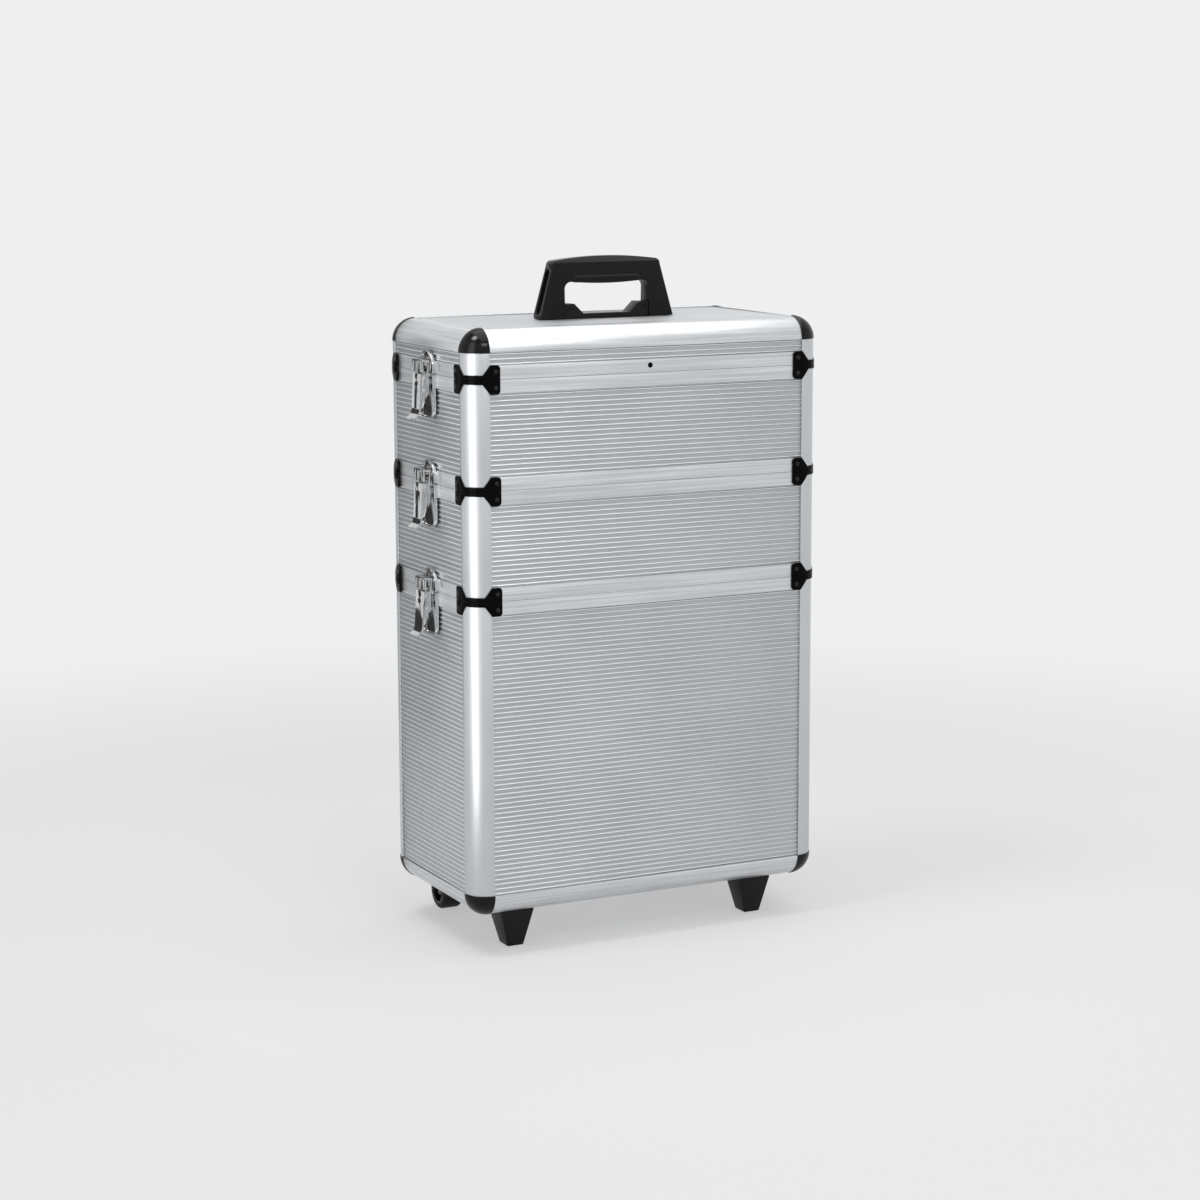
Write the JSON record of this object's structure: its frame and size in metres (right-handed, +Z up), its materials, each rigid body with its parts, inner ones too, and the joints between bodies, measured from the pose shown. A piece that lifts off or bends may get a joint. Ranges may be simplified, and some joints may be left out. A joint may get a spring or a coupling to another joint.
{
  "type": "rolling makeup case",
  "caption": "Wheeled hard beauty case of ribbed panels and rounded rails: a bin, stacked trays and a lid held by draw latches, with carry and telescopic handles.",
  "frame": {"origin": "on the floor, under the middle of the whole object's box", "axes": "+X to the right seen from the front, +Y towards the back, +Z up"},
  "size_m": [0.419, 0.2302, 0.665],
  "materials": {
    "satin_aluminium": "satin anodised",
    "ribbed_panel": "fine horizontal ribs, satin",
    "black_corner": "glossy black",
    "black_moulding": "satin black",
    "button_grey": "satin grey",
    "tray_floor": "matt black board",
    "chrome": "bright nickel plate",
    "steel_pin": "bright steel",
    "tube_aluminium": "satin anodised",
    "tyre": "matt black"
  },
  "bodies": {
    "bin": {"bin_panels": "ribbed_panel", "bin_floor": "ribbed_panel", "bin_posts": "satin_aluminium", "bin_bottom_rails": "satin_aluminium", "bin_ball_corners": "black_corner", "bin_rim": "satin_aluminium", "bin_clips": "black_corner", "bin_latch_plates": "chrome", "front_feet": "black_moulding", "wheel_brackets": "black_moulding", "wheel_axles": "steel_pin", "pull_foot_bracket": "black_moulding", "pull_top_bracket": "black_moulding", "pull_outer_tubes": "tube_aluminium"},
    "left_wheel": {"left_tyre": "tyre", "left_hub": "black_moulding"},
    "right_wheel": {"right_tyre": "tyre", "right_hub": "black_moulding"},
    "pull_middle_stage": {"pull_middle_tubes": "tube_aluminium"},
    "pull_inner_stage": {"pull_inner_tubes": "tube_aluminium", "pull_grip": "black_moulding"},
    "pull_button": {"pull_button": "button_grey"},
    "middle_tray": {"middle_panels": "ribbed_panel", "middle_floor": "tray_floor", "middle_posts": "satin_aluminium", "middle_rims": "satin_aluminium", "middle_clips": "black_corner", "middle_latch_plates": "chrome", "middle_keepers": "chrome"},
    "upper_tray": {"upper_panels": "ribbed_panel", "upper_floor": "tray_floor", "upper_posts": "satin_aluminium", "upper_rims": "satin_aluminium", "upper_clips": "black_corner", "upper_latch_plates": "chrome", "upper_keepers": "chrome"},
    "lid": {"lid_top_panel": "ribbed_panel", "lid_panels": "ribbed_panel", "lid_posts": "satin_aluminium", "lid_rails": "satin_aluminium", "lid_ball_corners": "black_corner", "lid_rim": "satin_aluminium", "lid_clips": "black_corner", "lid_keepers": "chrome", "lid_stud": "black_corner", "handle_base": "black_moulding", "handle_pins": "steel_pin"},
    "carry_handle": {"carry_handle": "black_moulding"},
    "left_top_lever": {"left_top_lever": "chrome"},
    "left_top_bail": {"left_top_bail": "chrome"},
    "left_middle_lever": {"left_middle_lever": "chrome"},
    "left_middle_bail": {"left_middle_bail": "chrome"},
    "left_bottom_lever": {"left_bottom_lever": "chrome"},
    "left_bottom_bail": {"left_bottom_bail": "chrome"},
    "right_top_lever": {"right_top_lever": "chrome"},
    "right_top_bail": {"right_top_bail": "chrome"},
    "right_middle_lever": {"right_middle_lever": "chrome"},
    "right_middle_bail": {"right_middle_bail": "chrome"},
    "right_bottom_lever": {"right_bottom_lever": "chrome"},
    "right_bottom_bail": {"right_bottom_bail": "chrome"}
  },
  "joints": [
    {"name": "middle_tray_lift", "type": "slide", "parent": "bin", "child": "middle_tray", "axis": [0, 0, 1], "range_m": [0, 0.15]},
    {"name": "upper_tray_lift", "type": "slide", "parent": "middle_tray", "child": "upper_tray", "axis": [0, 0, 1], "range_m": [0, 0.15]},
    {"name": "lid_lift", "type": "slide", "parent": "upper_tray", "child": "lid", "axis": [0, 0, 1], "range_m": [0, 0.15]},
    {"name": "carry_handle_fold", "type": "hinge", "parent": "lid", "child": "carry_handle", "pos_m": [0, -0.0094, 0.6096], "axis": [-1, 0, 0], "range_deg": [0, 90]},
    {"name": "left_wheel_spin", "type": "hinge", "parent": "bin", "child": "left_wheel", "pos_m": [-0.136, 0.0761, 0.0185], "axis": [1, 0, 0], "continuous": true},
    {"name": "right_wheel_spin", "type": "hinge", "parent": "bin", "child": "right_wheel", "pos_m": [0.136, 0.0761, 0.0185], "axis": [1, 0, 0], "continuous": true},
    {"name": "pull_middle_slide", "type": "slide", "parent": "bin", "child": "pull_middle_stage", "axis": [0, 0, 1], "range_m": [0, 0.21]},
    {"name": "pull_inner_slide", "type": "slide", "parent": "pull_middle_stage", "child": "pull_inner_stage", "axis": [0, 0, 1], "range_m": [0, 0.21]},
    {"name": "pull_button_press", "type": "slide", "parent": "pull_inner_stage", "child": "pull_button", "axis": [0, 0, -1], "range_m": [0, 0.003], "stiffness_N_per_m": 600},
    {"name": "left_top_lever_swing", "type": "hinge", "parent": "upper_tray", "child": "left_top_lever", "pos_m": [-0.198, -0.0199, 0.5535], "axis": [0, 1, 0], "range_deg": [0, 100]},
    {"name": "left_top_bail_swing", "type": "hinge", "parent": "left_top_lever", "child": "left_top_bail", "pos_m": [-0.197, -0.0199, 0.5415], "axis": [0, 1, 0], "range_deg": [-125, 0]},
    {"name": "left_middle_lever_swing", "type": "hinge", "parent": "middle_tray", "child": "left_middle_lever", "pos_m": [-0.198, -0.0199, 0.4485], "axis": [0, 1, 0], "range_deg": [0, 100]},
    {"name": "left_middle_bail_swing", "type": "hinge", "parent": "left_middle_lever", "child": "left_middle_bail", "pos_m": [-0.197, -0.0199, 0.4365], "axis": [0, 1, 0], "range_deg": [-125, 0]},
    {"name": "left_bottom_lever_swing", "type": "hinge", "parent": "bin", "child": "left_bottom_lever", "pos_m": [-0.198, -0.0199, 0.3435], "axis": [0, 1, 0], "range_deg": [0, 100]},
    {"name": "left_bottom_bail_swing", "type": "hinge", "parent": "left_bottom_lever", "child": "left_bottom_bail", "pos_m": [-0.197, -0.0199, 0.3315], "axis": [0, 1, 0], "range_deg": [-125, 0]},
    {"name": "right_top_lever_swing", "type": "hinge", "parent": "upper_tray", "child": "right_top_lever", "pos_m": [0.198, -0.0199, 0.5535], "axis": [0, -1, 0], "range_deg": [0, 100]},
    {"name": "right_top_bail_swing", "type": "hinge", "parent": "right_top_lever", "child": "right_top_bail", "pos_m": [0.197, -0.0199, 0.5415], "axis": [0, -1, 0], "range_deg": [-125, 0]},
    {"name": "right_middle_lever_swing", "type": "hinge", "parent": "middle_tray", "child": "right_middle_lever", "pos_m": [0.198, -0.0199, 0.4485], "axis": [0, -1, 0], "range_deg": [0, 100]},
    {"name": "right_middle_bail_swing", "type": "hinge", "parent": "right_middle_lever", "child": "right_middle_bail", "pos_m": [0.197, -0.0199, 0.4365], "axis": [0, -1, 0], "range_deg": [-125, 0]},
    {"name": "right_bottom_lever_swing", "type": "hinge", "parent": "bin", "child": "right_bottom_lever", "pos_m": [0.198, -0.0199, 0.3435], "axis": [0, -1, 0], "range_deg": [0, 100]},
    {"name": "right_bottom_bail_swing", "type": "hinge", "parent": "right_bottom_lever", "child": "right_bottom_bail", "pos_m": [0.197, -0.0199, 0.3315], "axis": [0, -1, 0], "range_deg": [-125, 0]}
  ],
  "couplings": [
    {"joint": "left_top_bail_swing", "follows": "left_top_lever_swing", "ratio": -1.25},
    {"joint": "left_middle_bail_swing", "follows": "left_middle_lever_swing", "ratio": -1.25},
    {"joint": "left_bottom_bail_swing", "follows": "left_bottom_lever_swing", "ratio": -1.25},
    {"joint": "right_top_bail_swing", "follows": "right_top_lever_swing", "ratio": -1.25},
    {"joint": "right_middle_bail_swing", "follows": "right_middle_lever_swing", "ratio": -1.25},
    {"joint": "right_bottom_bail_swing", "follows": "right_bottom_lever_swing", "ratio": -1.25}
  ]
}
